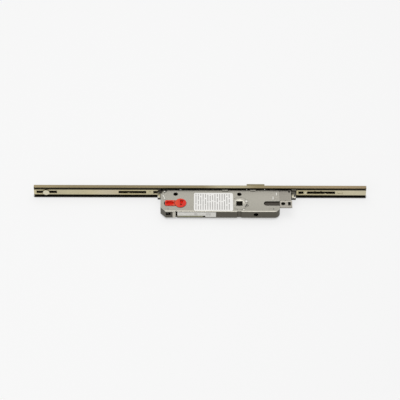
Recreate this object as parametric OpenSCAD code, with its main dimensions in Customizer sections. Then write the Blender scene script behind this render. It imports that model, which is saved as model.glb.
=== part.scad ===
// Central module of a multipoint door lock: U-rail, lock case, latch and two drive rods.
// X runs along the rail towards the door's top, Y towards the door edge, Z out of the case face.
// The origin is on the spindle axis, at the middle of the case thickness.

/* [Rail] */
// Length of the rail below the spindle axis
rail_below = 322; // [300:1:360]
// Length of the rail above the spindle axis
rail_above = 199; // [185:1:240]
// Width of the rail across its flanges
rail_w = 22; // [21:0.5:26]
// Depth of the rail's flanges
rail_depth = 6; // [5.8:0.1:7]
// Sheet thickness of the rail
rail_wall = 2; // [1.6:0.1:2.1]
// Radius of the rail's front edges
rail_edge_r = 0.8; // [0.5:0.1:1.5]
// Distance from the spindle axis to the lower rail screw hole
rail_hole_below = 173; // [170:1:177]
// Distance from the spindle axis to the upper rail screw hole
rail_hole_above = 135; // [130:1:140]
// Diameter of the rail screw holes
rail_hole_d = 4.5; // [4:0.1:4.8]

/* [Case] */
// Distance from the spindle axis to the rail's front face
backset = 35; // [35:0.5:38]
// Length of the case below the spindle axis
case_below = 123; // [122:0.5:128]
// Length of the case above the spindle axis
case_above = 63; // [62:0.5:66]
// Distance from the spindle axis to the back edge of the case
case_rear = 17.6; // [17.4:0.1:20]
// Overall thickness of the case
case_t = 14; // [13.6:0.1:16]
// Sheet thickness of the case
sheet = 1.5; // [1.2:0.1:1.6]
// Radius of the upper back corner
corner_r = 9; // [5:0.5:10]
// Length of the lower back bevel along the case
bevel_x = 8; // [5:0.5:9]
// Length of the lower back bevel across the case
bevel_y = 8.8; // [5:0.2:9]
// Diameter of the handle screw bores
handle_bore_d = 7.2; // [6.4:0.1:7.4]
// Distance from the rail's front face back to the handle screw bores
handle_bore_setback = 15.5; // [15.3:0.1:15.7]
// Distance from the spindle axis down to the lower handle screw bore
handle_bore_below = 99.6; // [98:0.2:101]
// Diameter of the posts that join the two case halves
post_d = 4; // [3:0.1:4.4]

/* [Cylinder keyhole] */
// Distance between the spindle axis and the cylinder axis
cylinder_spacing = 92; // [90:1:94]
// Diameter of the round part of the keyhole
keyhole_d = 17.4; // [17:0.1:17.6]
// Width of the narrow part of the keyhole
keyhole_w = 10.4; // [10:0.1:10.6]
// Length of the keyhole from end to end
keyhole_l = 34.4; // [33:0.2:35]
// Diameter of the cylinder fixing screw hole in the rail
cylinder_screw_d = 5.5; // [5:0.1:6]
// Depth of the plug below the case face
plug_depth = 6; // [3:0.5:7]
// Overlap of the plug's lip on the case face
plug_lip = 0.5; // [0.3:0.1:0.8]
// Height of the plug's lip
plug_lip_h = 0.8; // [0.4:0.1:1.5]

/* [Follower and slides] */
// Side of the square spindle hole
spindle_sq = 10; // [8:0.5:10.4]
// Diameter of the follower's journals
hub_d = 17; // [16:0.1:17.4]
// Outer diameter of the follower's bushes
bush_d = 20.4; // [19:0.1:20.6]
// Running clearance between journal and bush, on the radius
running_gap = 0.05; // [0.03:0.01:0.09]
// Module of the follower's teeth
gear_module = 1.75; // [1.7:0.01:1.78]
// Number of teeth on the follower
gear_teeth = 13; // [13:2:13]
// Turn of the handle between unlocked and locked, in degrees
handle_turn = 60; // [50:1:62]
// Thickness of the slides
slide_t = 3; // [2.4:0.1:3.2]

/* [Rods] */
// Width of the rods
rod_w = 12; // [11:0.2:13]
// Thickness of the rods
rod_t = 2; // [1.6:0.1:2.1]
// Width of the slots in the rods
rod_slot_w = 6; // [5.8:0.1:6.4]
// Diameter of the guide stud's head
stud_head_d = 10; // [8:0.2:11]
// Diameter of the guide stud's shank
stud_d = 5.2; // [4.4:0.1:5.2]

/* [Latch] */
// Width of the latch along the rail
latch_w = 28; // [24:0.5:30]
// Thickness of the latch
latch_t = 10.4; // [9:0.2:10.6]
// Distance from the spindle axis up to the latch's centre
latch_above = 25.7; // [25:0.1:27]
// How far the latch stands out of the rail
latch_out = 8; // [7:0.5:8]
// Diameter of the latch stem
stem_d = 4; // [3.4:0.1:4.2]
// Wire diameter of the latch spring
spring_wire = 0.7; // [0.5:0.1:0.8]
// Number of turns in the latch spring
spring_turns = 7; // [5:1:8]

/* [Hidden] */
$fn = 48;

// Clearances shared by the pieces
cut = 1;
side_gap = 0.3;
press_gap = 0.05;
layer_gap = 0.4;
face_overlap = 0.01;
rail_gap = 0.5;
slide_edge_gap = 0.6;

// Levels across the rail
rail_front = backset;
rail_inner = rail_front - rail_wall;
rail_back = rail_front - rail_depth;
flange_in = rail_w / 2 - rail_wall;
rod_front_gap = 0.3;
tongue_t = 1;
rod_front = rail_inner - rod_front_gap - tongue_t;
rod_back = rod_front - rod_t;

// Levels through the case
case_top = case_t / 2;
case_bottom = -case_t / 2;
case_roof = case_top - sheet;
case_floor = case_bottom + sheet;
case_front = rail_back - rail_gap;
front_inner = case_front - sheet;
case_back = -case_rear;
back_inner = case_back + sheet;
case_low = -case_below;
case_high = case_above;
slide_low = case_floor + side_gap;
slide_high = slide_low + slide_t;
upper_low = slide_high + layer_gap;
upper_high = case_roof - side_gap;
handle_bore_y = backset - handle_bore_setback;

// Teeth of the follower and the racks
hub_collar = 0.5;
hub_dish = 0.6;
hub_rim = 0.5;
pressure_angle = 25;
pitch_r = gear_module * gear_teeth / 2;
tip_r = pitch_r + gear_module;
root_r = pitch_r - 1.25 * gear_module;
base_r = pitch_r * cos(pressure_angle);
rack_root = pitch_r + 1.25 * gear_module;
tooth_pitch = PI * gear_module;
tooth_play = 0.1;
stroke = pitch_r * handle_turn * PI / 180;
flank_steps = 5;

// Slides, notches and their slots
slide_front = front_inner - slide_edge_gap;
slot_gap = 0.1;
guide_d = 3.4;
bore_half = handle_bore_d / 2 + slot_gap;
lower_edge = 16;
upper_teeth = [-3.5, -2.5, -1.5, -0.5, 0.5, 1.5];
lower_teeth = [-1, 0, 1, 2, 3];
upper_slide_low = -4 * tooth_pitch;
lower_slide_high = 3.5 * tooth_pitch;
web_gap = 8;
web_high = upper_slide_low - web_gap;
web_w = 22;
web_low = web_high - web_w;
upper_guide = [44, 22];
lower_guide_inset = 16;
lower_guide_x = web_high - guide_d - lower_guide_inset;
lower_guide_ys = [5, 18];
lower_guides = [for (y = lower_guide_ys) [lower_guide_x, y]];

// Key-driven lock slide
lock_above_cylinder = 22;
lock_x = lock_above_cylinder - cylinder_spacing;
lock_w = 13;
lock_t = 3;
lock_low_y = -12;
lock_high_y = 12;
lock_throw = 4;
nose_w = 4;
nose_y = lower_edge - layer_gap;
notch_gap = 0.7;
lock_foot = 4;
lock_foot_w = 4;
nose_l = 4;

// Pockets and groove in the plug's face
plug_pocket = 2;
plug_pocket_w = 7.4;
plug_rim = 1.4;
plug_neck = 10;
plug_end_gap = 1.9;
plug_wedge = [[-0.9, 6.2], [-0.3, -4.8], [2.8, -4.8], [5.2, 6.2]];
plug_hole_at = [0.9, -1.4];
plug_hole_d = 3;
plug_hole = 3.5;
plug_groove_w = 0.8;

// Posts between tray and cover, in the gaps that the slides leave
lock_post_ys = [-8, 4];
lock_posts = [for (y = lock_post_ys) [lock_x, y]];
low_posts = [[5, 10.5], [11, -12]];
high_posts = [[-15, -11], [-5.8, 9.5]];
case_posts = concat([for (p = low_posts) p + [case_low, 0]], [for (p = high_posts) p + [case_high, 0]]);
post_shoulder = 1;
post_head_d = post_d + 2 * post_shoulder;

// Blocks and screws that hold the rail
block_w = 9;
block_mid_x = -22.2;
block_low_inset = 7;
block_high_inset = 11;
block_xs = [case_low + block_low_inset, block_mid_x, case_high - block_high_inset];
block_half_h = 5;
block_back = 19;
block_pin = [-1.5, 25.4];
block_pin_d = 3;
block_pin_h = 1.3;
rail_screw_d = 4;
rail_screw_head_d = 8;
rail_screw_l = 13;
screw_cross = [4, 1, 1.2];

// End bracket and accessory slot
bracket_l = 18;
bracket_step = 6.9;
tab_back = -8.2;
tab_t = 1;
tab_over = 1.2;
bracket_gap = 1;
accessory_bore_d = 6.6;
accessory_bore_x = 5.2;
accessory_slot = [4.3, 7.3];
accessory_slot_x = 14.9;
cover_slot_w = 9.4;
cover_slot_l = 25;
bar_w = 11;
bar_t = 2.8;
bar_end_t = 1.2;
bar_low = upper_high - bar_t;
bar_from = 37.8;
bar_end_inset = 1;
bar_x = [bar_from, case_high + bracket_l - bar_end_inset];
bar_web_w = 4;
bar_web_y = 17.8;
bar_stud_d = 3.4;
bar_stud_y = 15.9;
bar_stud = [bar_x[0] + bar_web_w / 2, bar_stud_y];
bracket_rivet_d = 2.4;
bracket_rivet_l = 6;
bracket_rivet_head = 1.4;
bracket_rivet_head_h = 1;
bracket_rivet_insets = [3.1, 6];
bracket_rivet_ys = [bracket_step + bracket_rivet_insets[0], rail_back - bracket_rivet_insets[1]];
bracket_rivet_z = (upper_low + case_roof) / 2;
bracket_drop = 0.1;
bracket_dot_d = 3.2;
bracket_dot_depth = 3;
bracket_dot_inset = 4;

// Rod ends, slots and rivets, measured from the spindle axis
connector_l = 6.6;
connector_low = slide_high;
connector_t = 3;
connector_high = slide_high + connector_t;
connector_back = 17.5;
tail_back = 18.9;
tongue_half_h = 5;
upper_conn_low = case_high + bracket_l + bracket_gap;
upper_rod_gap = 1.1;
upper_rod_low = upper_conn_low + connector_l + upper_rod_gap;
upper_slot_a = [3, 11.2];
upper_slot_b = [16.7, 60.8];
upper_notches = [28.9, 38.4];
notch_size = [2.2, 1];
upper_oval = [64.3, 73.3];
oval_w = 4;
oval_depth = 0.4;
upper_rivet = 14;
lower_conn_high = case_low - side_gap;
lower_rod_gap = 4;
lower_rod_high = lower_conn_high - lower_rod_gap;
lower_slot_2 = 7.5;
lower_slot_1 = [18.6, 62];
far_slot_reach = [15.2, 16.8];
stud_from_end = 19.2;
lower_rivet = 13;
stud_x = -rail_below + stud_from_end;
stud_head_h = 1.2;
rivet_d = 3;
rivet_head = 0.4;
rivet_head_h = 0.4;
rivet_end = 2.6;
connector_rivet_x = 1.8;
connector_rivet_rises = [2, 5.5];
connector_rivet_ys = [for (rise = connector_rivet_rises) tail_back + rise];
plate_hole_d = 3;
plate_hole_x = 1.6;
plate_hole_rise = 3.1;
plate_hole_y = tail_back + plate_hole_rise;
lower_conn_l = 4.6;
window_gap = 0.5;

// Latch
latch_window_gap = 0.4;
window_x = [latch_above - latch_w / 2 - latch_window_gap, latch_above + latch_w / 2 + latch_window_gap];
window_half = latch_t / 2 + latch_window_gap;
latch_shoulder = 2.5;
latch_body_w = latch_w - 2 * latch_shoulder;
latch_body_back = 16;
latch_root = rail_front - side_gap;
latch_tip = rail_front + latch_out;
latch_flat = 2;
latch_heel = 1;
stem_z = (upper_low + upper_high) / 2;
stem_seat_depth = 8;
seat_front = -4;
seat_t = 1.5;
seat_w = 15;
seat_foot = 6;
stem_back = -8;
spring_play = 0.45;
spring_end_gap = 0.05;
spring_r = stem_d / 2 + spring_wire / 2 + spring_play;
clip_rim = 1.2;
clip_d = stem_d + 2 * clip_rim;
clip_t = 0.8;
back_hole_d = 7.5;

// Back edge details
edge_groove = [-3.7, 3];
edge_groove_depth = 1.1;
edge_recess_at = [8.6, 16];
edge_recess = [for (x = edge_recess_at) case_low + x];
edge_recess_z = [-1.5, 4.5];
edge_notch_at = [19, 26];
edge_notch = [for (x = edge_notch_at) case_low + x];
edge_notch_depth = 1.1;
edge_slit_w = 1.8;
lug_gap = 0.1;
lug_w = 4.4;
edge_dot_x = -55;
edge_dot_d = 3.2;
edge_dot_z = -3.8;

// Marks and labels on the case face
emboss_h = 0.3;
emboss_ring_d = 27;
emboss_ring_w = 1;
mark_dot = [10.9, 4.2];
mark_dot_d = 3.4;
mark_line_w = 1.8;
mark_line_depth = 0.4;
mark_chevron = [[9.2, -6.4], [11.3, -2.4], [13.2, -5.4]];
face_bars = [[57, 16.6], [51.6, 8]];
face_bar = [1.8, 6.4];
cover_corner = [[4.5, -8], [8.5, -5], [10.5, 0]];
face_rib = [[3.5, 17.5], [6.8, 8.5]];
face_rib_w = 1.8;
hook_high_x = 21.4;
hook_xs = [block_mid_x, hook_high_x];
hook_w = 9;
hook_back = 25.5;
hook_front = 31.4;
hook_h = 1;
label_t = 0.15;
face_label_x = [-71, -10];
face_label_inset = 1.4;
face_label_top = 22;
face_label_y = [case_back + face_label_inset, face_label_top];
label_r = 2;
edge_label_x = [-96.5, -36.5];
edge_label_z = [-2.45, 5.4];

// A box between two opposite corners
module block(low, high) {
    translate(low) cube(high - low);
}

// A cylinder along Y from one level to another
module bar_y(x, z, d, from, to) {
    translate([x, from, z]) rotate([-90, 0, 0]) cylinder(d = d, h = to - from);
}

// A flat slot with round ends along X, drawn in the plane
module slot_2d(from, to, w) {
    translate([from + w / 2, -w / 2]) square([to - from - w, w]);
    for (x = [from + w / 2, to - w / 2]) translate([x, 0]) circle(d = w);
}

// A straight stroke with round ends, drawn in the plane
module stroke_2d(from, to, w) {
    run = to - from;
    translate(from) rotate(atan2(run[1], run[0])) slot_2d(-w / 2, norm(run) + w / 2, w);
}

// Outline of the case, drawn in by an even inset
module case_profile(inset) {
    low = [case_low + inset, case_back + inset];
    size = [case_high - case_low - 2 * inset, case_front - case_back - 2 * inset];
    slope = inset * sqrt(1 / (bevel_x * bevel_x) + 1 / (bevel_y * bevel_y));
    cut_x = bevel_x * (1 + slope - inset / bevel_y) - inset;
    cut_y = bevel_y * (1 + slope - inset / bevel_x) - inset;
    r = corner_r - inset;
    high_x = low[0] + size[0];
    difference() {
        translate(low) square(size);
        translate(low) polygon([
            [-cut, -cut], [cut_x * (1 + cut / cut_y), -cut], [-cut, cut_y * (1 + cut / cut_x)]
        ]);
        difference() {
            translate([high_x - r, low[1] - cut]) square([r + cut, r + cut]);
            translate([high_x - r, low[1] + r]) circle(r = r);
        }
    }
}

// Outline of the cylinder keyhole, drawn in by an even inset
module keyhole_profile(inset) {
    d = keyhole_d - 2 * inset;
    w = keyhole_w - 2 * inset;
    end = keyhole_d / 2 - keyhole_l + inset;
    translate([-cylinder_spacing, 0]) {
        circle(d = d);
        translate([end + w / 2, -w / 2]) square([-end - w / 2, w]);
        translate([end + w / 2, 0]) circle(d = w);
    }
}

// Angle by which an involute has turned from its base circle at a radius
function involute_turn(r) = tan(acos(base_r / r)) * 180 / PI - acos(base_r / r);
function tooth_half(r) = 90 / gear_teeth - tooth_play / pitch_r * 90 / PI
    + involute_turn(pitch_r) - involute_turn(max(r, base_r));
function polar(r, a) = [r * cos(a), r * sin(a)];

// One tooth of the follower, centred on an angle
module gear_tooth(angle) {
    radii = concat([root_r - cut], [for (i = [0:flank_steps]) base_r + (tip_r - base_r) * i / flank_steps]);
    left = [for (r = radii) polar(r, angle + tooth_half(r))];
    right = [for (i = [len(radii) - 1:-1:0]) polar(radii[i], angle - tooth_half(radii[i]))];
    polygon(concat(left, right));
}

// Rack teeth at multiples of the pitch; they point to -Y from the rack's root line
module rack_teeth(places) {
    half = tooth_pitch / 4 - tooth_play / 2;
    tip = pitch_r - gear_module;
    run = tan(pressure_angle);
    for (p = places) translate([p * tooth_pitch, 0]) polygon([
        [-half - (rack_root - pitch_r) * run, rack_root + cut / 10],
        [-half + gear_module * run, tip],
        [half - gear_module * run, tip],
        [half + (rack_root - pitch_r) * run, rack_root + cut / 10]
    ]);
}

// A screw hole through the rail's front wall, countersunk from the front
module rail_hole(x, d, head_d) {
    bar_y(x, 0, d, rail_inner - cut, rail_front + cut);
    depth = (head_d - d) / 2;
    translate([x, rail_front - depth, 0]) rotate([-90, 0, 0])
        cylinder(d1 = d, d2 = head_d + 2 * cut, h = depth + cut);
}

module faceplate_rail() {
    color("#9c8f6c") difference() {
        translate([-rail_below, 0, 0]) rotate([90, 0, 90]) linear_extrude(rail_above + rail_below)
            difference() {
                union() {
                    translate([rail_back, -rail_w / 2]) square([rail_depth - rail_edge_r, rail_w]);
                    translate([rail_back, -rail_w / 2 + rail_edge_r])
                        square([rail_depth, rail_w - 2 * rail_edge_r]);
                    for (s = [-1, 1]) translate([rail_front - rail_edge_r, s * (rail_w / 2 - rail_edge_r)])
                        circle(r = rail_edge_r);
                }
                translate([rail_back - cut, -flange_in])
                    square([rail_inner - rail_back + cut, 2 * flange_in]);
            }
        block([window_x[0], rail_inner - cut, -window_half], [window_x[1], rail_front + cut, window_half]);
        for (x = block_xs) rail_hole(x, rail_screw_d + 2 * press_gap, rail_screw_head_d + 2 * press_gap);
        for (x = [-rail_hole_below, rail_hole_above])
            bar_y(x, 0, rail_hole_d, rail_inner - cut, rail_front + cut);
        bar_y(-cylinder_spacing, 0, cylinder_screw_d, rail_inner - cut, rail_front + cut);
        bar_y(stud_x, 0, stud_d, rail_inner - cut, rail_front + cut);
    }
}

// Space that a slide takes through an end wall or bracket
module slide_way(from, to, back) {
    block([from, back - side_gap, case_floor - face_overlap],
        [to, slide_front + side_gap, slide_high + side_gap]);
}

// Holes that pass through both case halves
module case_bores() {
    translate([0, 0, case_bottom - cut]) linear_extrude(case_t + 2 * cut) {
        circle(d = bush_d);
        keyhole_profile(0);
        for (x = [0, -handle_bore_below]) translate([x, handle_bore_y]) circle(d = handle_bore_d);
        for (p = case_posts) translate(p) circle(d = post_d + 2 * press_gap);
        for (p = lock_posts) translate(p) circle(d = post_d + 2 * press_gap);
    }
}

module case_floor_plate() {
    color("#6b675c") difference() {
        translate([0, 0, case_bottom]) linear_extrude(sheet) case_profile(0);
        case_bores();
        back_edge_cuts();
    }
}

module case_walls() {
    color("#5d594f") difference() {
        translate([0, 0, case_floor]) linear_extrude(case_roof - case_floor) difference() {
            case_profile(0);
            case_profile(sheet);
        }
        block([window_x[0], front_inner - cut, -window_half],
            [window_x[1], case_front + cut, case_roof + cut]);
        for (x = block_xs) block([x - block_w / 2 - press_gap, front_inner - cut, -block_half_h - press_gap],
            [x + block_w / 2 + press_gap, case_front + cut, case_roof + cut]);
        bar_y(-cylinder_spacing, 0, cylinder_screw_d, front_inner - cut, case_front + cut);
        slide_way(case_low - cut, case_low + sheet + cut, lower_edge);
        slide_way(case_high - sheet - cut, case_high + cut, rack_root);
        block([case_high - sheet - cut, -bar_w / 2 - side_gap, bar_low - side_gap],
            [case_high + cut, bar_w / 2 + side_gap, case_roof + cut]);
        for (y = bracket_rivet_ys) translate([case_high - sheet - cut, y, bracket_rivet_z])
            rotate([0, 90, 0]) cylinder(d = bracket_rivet_d + 2 * press_gap, h = sheet + 2 * cut);
        bar_y(latch_above, 0, back_hole_d, case_back - cut, back_inner + cut);
        bar_y(edge_dot_x, edge_dot_z, edge_dot_d, case_back - cut, back_inner + cut);
        block([edge_recess[0], case_back - cut, edge_recess_z[0]],
            [edge_recess[1], back_inner + cut, edge_recess_z[1]]);
        block([edge_notch[1] - edge_slit_w, case_back - cut, edge_recess_z[0] - edge_slit_w],
            [edge_notch[1], back_inner + cut, case_roof + cut]);
        back_edge_cuts();
    }
}

// Shallow groove and notch down the back edge of the case
module back_edge_cuts() {
    block([edge_groove[0], case_back - cut, case_bottom - cut],
        [edge_groove[1], case_back + edge_groove_depth, case_top + cut]);
    block([edge_notch[0], case_back - cut, case_bottom - cut],
        [edge_notch[1], case_back + edge_notch_depth, case_top + cut]);
}

module case_cover() {
    color("#aeaca2") {
        difference() {
            translate([0, 0, case_roof]) linear_extrude(sheet) case_profile(0);
            case_bores();
            translate([0, 0, case_roof - cut]) linear_extrude(sheet + 2 * cut)
                slot_2d(case_high - cover_slot_l, case_high + cover_slot_w, cover_slot_w);
            back_edge_cuts();
            translate([case_low, case_front, case_roof - cut]) linear_extrude(sheet + 2 * cut) polygon([
                [-cut, cover_corner[0][1]], cover_corner[0], cover_corner[1], cover_corner[2],
                [cover_corner[2][0], cut], [-cut, cut]
            ]);
            translate([0, 0, case_top - mark_line_depth]) linear_extrude(mark_line_depth + cut) {
                stroke_2d(mark_chevron[0], mark_chevron[1], mark_line_w);
                stroke_2d(mark_chevron[1], mark_chevron[2], mark_line_w);
            }
        }
        block([edge_notch[0] + lug_gap, case_back, case_bottom],
            [edge_notch[0] + lug_gap + lug_w, case_back + edge_notch_depth - lug_gap, case_top]);
        block([edge_notch[0] + lug_gap, case_back, case_roof],
            [edge_notch[0] + lug_gap + lug_w, case_back + edge_notch_depth + cut, case_top]);
        for (x = hook_xs)
            block([x - hook_w / 2, hook_back, case_top], [x + hook_w / 2, hook_front, case_top + hook_h]);
        translate([0, 0, case_top]) linear_extrude(emboss_h) {
            difference() {
                circle(d = emboss_ring_d);
                circle(d = emboss_ring_d - 2 * emboss_ring_w);
                translate([face_label_x[1] - emboss_ring_d, -emboss_ring_d])
                    square([emboss_ring_d + label_r, 2 * emboss_ring_d]);
                translate([0, handle_bore_y]) circle(d = handle_bore_d + 2 * emboss_ring_w);
            }
            translate(mark_dot) circle(d = mark_dot_d);
            for (p = face_bars) translate(p) square(face_bar);
            translate([case_low, 0]) stroke_2d(face_rib[0], face_rib[1], face_rib_w);
        }
    }
}

module end_bracket() {
    color("#9d9991") difference() {
        union() {
            block([case_high, bracket_step, case_bottom],
                [case_high + bracket_l, case_front, case_top - bracket_drop]);
            block([case_high, tab_back, case_roof],
                [case_high + bracket_l, bracket_step + cut, case_roof + tab_t]);
            block([case_high + bracket_l - cut, tab_back, case_roof],
                [case_high + bracket_l + tab_over, bracket_step, case_roof + tab_t]);
        }
        slide_way(case_high - cut, case_high + bracket_l + cut, rack_root);
        for (y = bracket_rivet_ys) translate([case_high - cut, y, bracket_rivet_z])
            rotate([0, 90, 0]) cylinder(d = bracket_rivet_d + 2 * press_gap, h = bracket_rivet_l + cut);
        translate([case_high + accessory_bore_x, 0, case_roof - cut])
            cylinder(d = accessory_bore_d, h = tab_t + 2 * cut);
        translate([case_high + accessory_slot_x, 0, case_roof - cut])
            linear_extrude(tab_t + 2 * cut) square(accessory_slot, center = true);
        translate([case_high + accessory_slot_x, rail_back - bracket_dot_inset, case_top - bracket_dot_depth])
            cylinder(d = bracket_dot_d, h = bracket_dot_depth + cut);
    }
}

module bracket_rivets() {
    color("#8a877f") for (y = bracket_rivet_ys) translate([case_high - sheet, y, bracket_rivet_z])
        rotate([0, 90, 0]) {
            cylinder(d = bracket_rivet_d, h = sheet + bracket_rivet_l);
            translate([0, 0, -bracket_rivet_head_h])
                cylinder(d = bracket_rivet_d + bracket_rivet_head, h = bracket_rivet_head_h);
        }
}

module cover_rivets() {
    color("#b5b3aa") {
        for (p = case_posts) translate([p[0], p[1], case_bottom]) {
            cylinder(d = post_d, h = case_t);
            translate([0, 0, sheet]) cylinder(d = post_head_d, h = case_t - 2 * sheet);
        }
        for (p = lock_posts) translate([p[0], p[1], case_bottom]) cylinder(d = post_d, h = case_t);
    }
}

module fixing_blocks() {
    color("#8f8a7c") translate([block_xs[0] + block_pin[0], block_pin[1], upper_high])
        cylinder(d = block_pin_d, h = block_pin_h);
    color("#8f8a7c") for (x = block_xs) difference() {
        union() {
            block([x - block_w / 2, front_inner - cut, -block_half_h],
                [x + block_w / 2, rail_inner, block_half_h]);
            block([x - block_w / 2, block_back, upper_low], [x + block_w / 2, front_inner, upper_high]);
        }
        block([x - block_w, block_back - cut, -case_t], [x + block_w, front_inner, upper_low]);
        bar_y(x, 0, rail_screw_d + 2 * press_gap, rail_front - rail_screw_l, rail_inner + cut);
    }
}

module rail_screws() {
    head_h = (rail_screw_head_d - rail_screw_d) / 2;
    color("#a89a70") for (x = block_xs) translate([x, rail_front, 0]) rotate([90, 0, 0]) difference() {
        union() {
            cylinder(d1 = rail_screw_head_d, d2 = rail_screw_d, h = head_h);
            cylinder(d = rail_screw_d, h = rail_screw_l - side_gap);
        }
        for (a = [0, 90]) rotate(a) translate([-screw_cross[0] / 2, -screw_cross[1] / 2, -cut])
            cube([screw_cross[0], screw_cross[1], cut + screw_cross[2]]);
    }
}

module follower_bushes() {
    color("#c9c6bb") for (z = [case_bottom, case_roof]) translate([0, 0, z]) difference() {
        cylinder(d = bush_d - 2 * press_gap / 5, h = sheet);
        translate([0, 0, -cut]) cylinder(d = hub_d + 2 * running_gap, h = sheet + 2 * cut);
    }
}

module slide_guides() {
    color("#8a877f") for (p = concat([upper_guide], lower_guides))
        translate([p[0], p[1], case_floor]) cylinder(d = guide_d, h = slide_high - case_floor);
}

module rod_guide_stud() {
    color("#cfc6a4") {
        bar_y(stud_x, 0, stud_d, rod_back - side_gap - stud_head_h, rail_front);
        bar_y(stud_x, 0, stud_head_d, rod_back - side_gap - stud_head_h, rod_back - side_gap);
    }
}

module latch_spring_seat() {
    color("#8f8a7c") difference() {
        union() {
            block([latch_above - seat_w / 2, seat_front - seat_t, case_floor],
                [latch_above + seat_w / 2, seat_front, upper_high]);
            block([latch_above - seat_w / 2, seat_front - seat_t - seat_foot, case_floor],
                [latch_above + seat_w / 2, seat_front, case_floor + seat_t]);
        }
        bar_y(latch_above, stem_z, stem_d + 2 * side_gap, seat_front - seat_t - cut, seat_front + cut);
    }
}

module face_label() {
    color("#e4e1da") translate([face_label_x[0], face_label_y[0], case_top]) linear_extrude(label_t) {
        size = [face_label_x[1] - face_label_x[0], face_label_y[1] - face_label_y[0]];
        translate([label_r, 0]) square([size[0] - 2 * label_r, size[1]]);
        translate([0, label_r]) square([size[0], size[1] - 2 * label_r]);
        for (x = [label_r, size[0] - label_r]) for (y = [label_r, size[1] - label_r])
            translate([x, y]) circle(r = label_r);
    }
}

module edge_label() {
    color("#dedbd4") block([edge_label_x[0], case_back - label_t, edge_label_z[0]],
        [edge_label_x[1], case_back, edge_label_z[1]]);
}

module follower() {
    color("#c2bfb4") difference() {
        union() {
            translate([0, 0, case_bottom]) cylinder(d = hub_d, h = case_t + side_gap);
            translate([0, 0, upper_low]) cylinder(d = bush_d + 2 * hub_collar, h = upper_high - upper_low);
            translate([0, 0, slide_low]) linear_extrude(slide_t) {
                circle(r = root_r);
                for (i = [0:gear_teeth - 1]) gear_tooth(90 + i * 360 / gear_teeth);
            }
            translate([0, 0, slide_high]) cylinder(r = root_r, h = upper_low - slide_high);
        }
        translate([-spindle_sq / 2, -spindle_sq / 2, case_bottom - cut])
            cube([spindle_sq, spindle_sq, case_t + 3 * cut]);
        translate([0, 0, case_top + side_gap - hub_dish])
            cylinder(d1 = spindle_sq, d2 = hub_d - 2 * hub_rim, h = hub_dish + face_overlap);
    }
}

module upper_slide() {
    high = upper_conn_low + connector_l;
    color("#a9a28c") translate([0, 0, slide_low]) linear_extrude(slide_t) difference() {
        union() {
            translate([upper_slide_low, rack_root])
                square([case_high + bracket_l - upper_slide_low, slide_front - rack_root]);
            translate([upper_slide_low, tail_back]) square([high - upper_slide_low, slide_front - tail_back]);
            rack_teeth(upper_teeth);
        }
        translate(bar_stud) circle(d = bar_stud_d);
        translate([0, handle_bore_y]) slot_2d(-stroke - bore_half, bore_half, 2 * bore_half);
        translate([upper_guide[0], upper_guide[1]])
            slot_2d(-stroke - guide_d / 2 - side_gap, guide_d / 2 + side_gap, guide_d + 2 * side_gap);
        translate([high - plate_hole_x, plate_hole_y]) circle(d = plate_hole_d);
        for (y = connector_rivet_ys) translate([upper_conn_low + connector_rivet_x, y]) circle(d = rivet_d);
    }
}

module accessory_bar() {
    color("#4a463c") {
        block([bar_x[0], -bar_w / 2, bar_low], [case_high, bar_w / 2, upper_high]);
        block([bar_x[0], -bar_w / 2, bar_low], [bar_x[1], bar_w / 2, bar_low + bar_end_t]);
        block([bar_x[0], 0, bar_low], [bar_x[0] + bar_web_w, bar_web_y, upper_high]);
        translate([bar_stud[0], bar_stud[1], slide_low]) cylinder(d = bar_stud_d, h = bar_low - slide_low);
    }
}

// A connector plate with its tongue in front of the rod
module connector(from, to, tongue_to) {
    block([from, connector_back, connector_low], [to, rail_inner - rod_front_gap, connector_high]);
    block([min(from, tongue_to), rod_front, -tongue_half_h],
        [max(to, tongue_to), rail_inner - rod_front_gap, tongue_half_h]);
}

module upper_connector() {
    color("#bdb9ad") difference() {
        connector(upper_conn_low, upper_conn_low + connector_l, upper_rod_low + upper_rivet + rivet_end);
        translate([upper_conn_low + connector_l - plate_hole_x, plate_hole_y, connector_low - cut])
            cylinder(d = plate_hole_d, h = connector_high - connector_low + 2 * cut);
        for (y = connector_rivet_ys) translate([upper_conn_low + connector_rivet_x, y, connector_low - cut])
            cylinder(d = rivet_d, h = connector_high - connector_low + 2 * cut);
        bar_y(upper_rod_low + upper_rivet, 0, rivet_d, rod_front - cut, rail_inner);
        tongue_window(upper_rod_low + upper_slot_a[0], upper_rod_low + upper_slot_a[1]);
    }
}

// Window in a connector's tongue behind a rod slot
module tongue_window(from, to) {
    half = rod_slot_w / 2 + window_gap;
    block([from - window_gap, rod_front - cut, -half], [to + window_gap, rail_inner, half]);
}

// Rivets of one connector: two through the slide and one through the rod
module rivets(plate_x, rod_x) {
    for (y = connector_rivet_ys) translate([plate_x, y, slide_low]) {
        cylinder(d = rivet_d, h = connector_high - slide_low);
        translate([0, 0, connector_high - slide_low]) cylinder(d = rivet_d + rivet_head, h = rivet_head_h);
    }
    bar_y(rod_x, 0, rivet_d, rod_back, rail_inner - rod_front_gap);
    bar_y(rod_x, 0, rivet_d + rivet_head, rod_back - rivet_head_h, rod_back);
}

module upper_rivets() {
    color("#c9c2a8") rivets(upper_conn_low + connector_rivet_x, upper_rod_low + upper_rivet);
}

// A flat rod from one end to the other, standing in the rail
module rod_blank(from, to) {
    block([from, rod_back, -rod_w / 2], [to, rod_front, rod_w / 2]);
}

// A slot through a rod, from one end to the other
module rod_slot(from, to) {
    translate([0, rod_front + cut, 0]) rotate([90, 0, 0]) linear_extrude(rod_t + 2 * cut)
        translate([from, -rod_slot_w / 2]) square([to - from, rod_slot_w]);
}

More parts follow.
